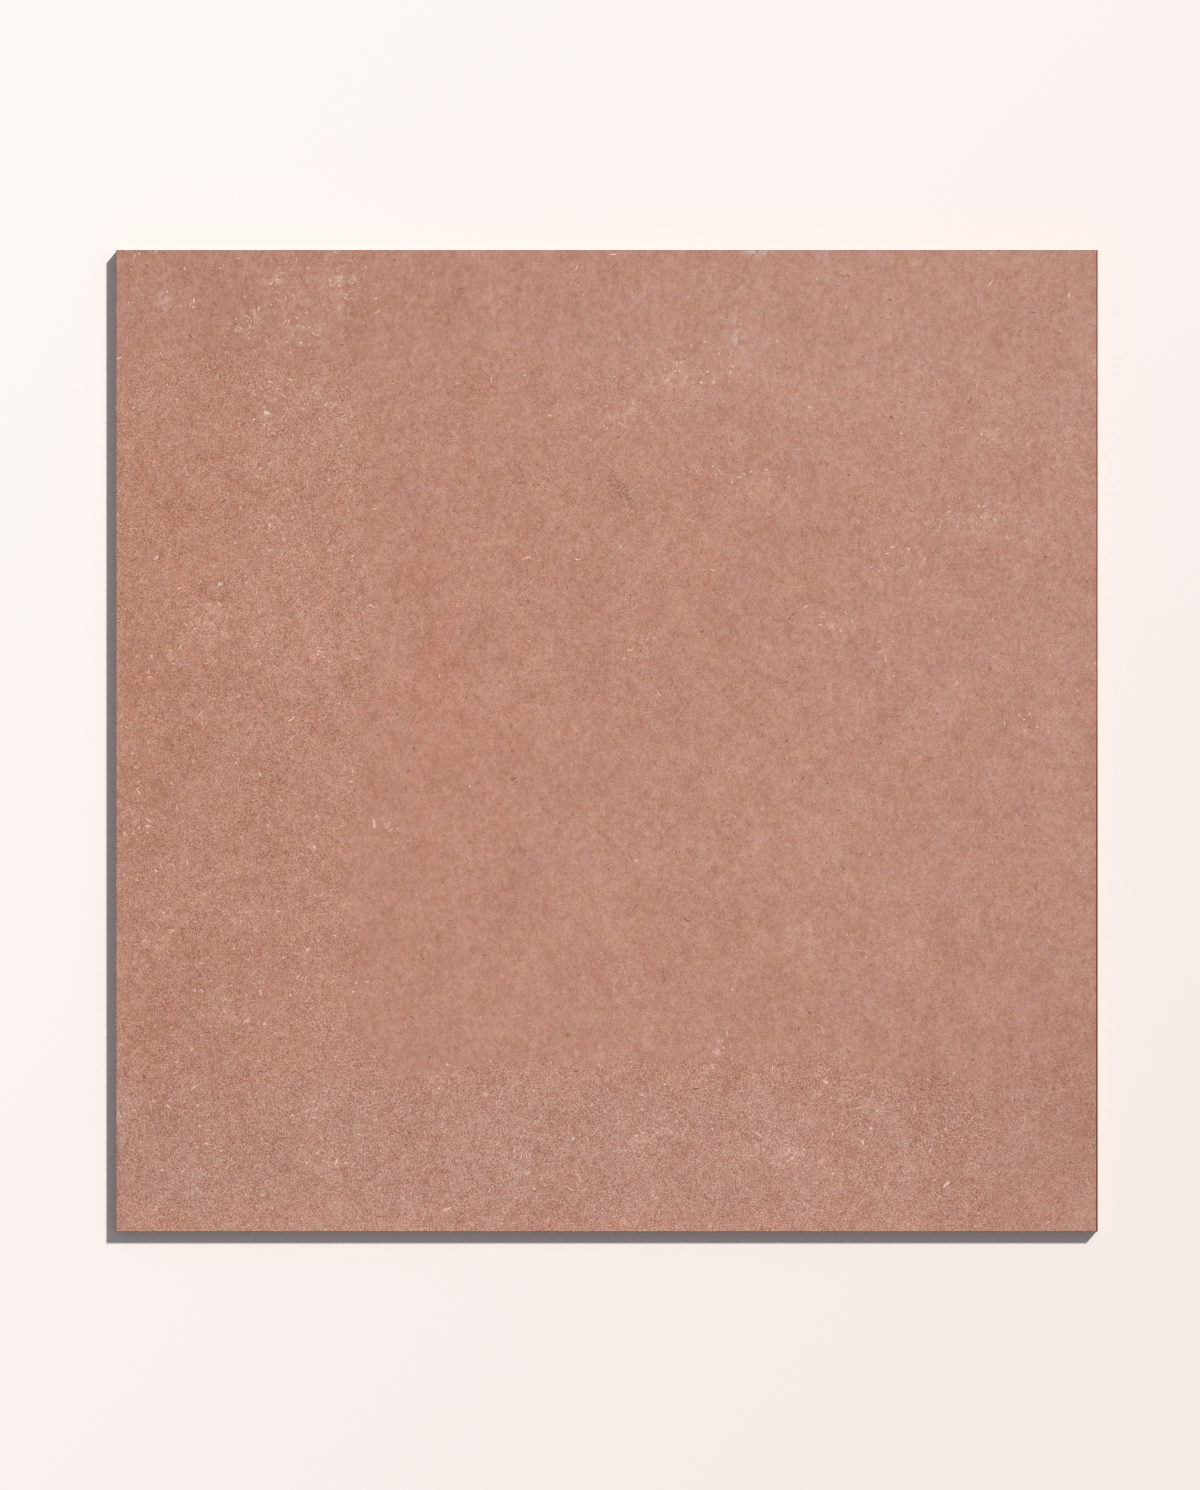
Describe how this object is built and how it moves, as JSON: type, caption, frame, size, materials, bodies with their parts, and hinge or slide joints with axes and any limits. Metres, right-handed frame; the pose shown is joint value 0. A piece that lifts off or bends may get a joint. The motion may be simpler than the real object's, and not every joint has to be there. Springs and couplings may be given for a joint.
{
  "type": "porcelain tile",
  "caption": "Square flat porcelain tile with a matte terracotta-pink sandy face, ground square edges with a fine arris, and a ribbed back for bedding in adhesive.",
  "frame": {"origin": "centre of the back, on the plane of the rib crests that the tile rests on", "axes": "+Z out of the wear face, up as the tile lies. +X along one pair of sides, the way the back's ribs run, to the right in the picture. +Y along the other pair, up in the picture."},
  "size_m": [0.6, 0.6, 0.009],
  "materials": {
    "porcelain": "matte"
  },
  "bodies": {
    "root": {"porcelain_tile": "porcelain"}
  },
  "joints": []
}
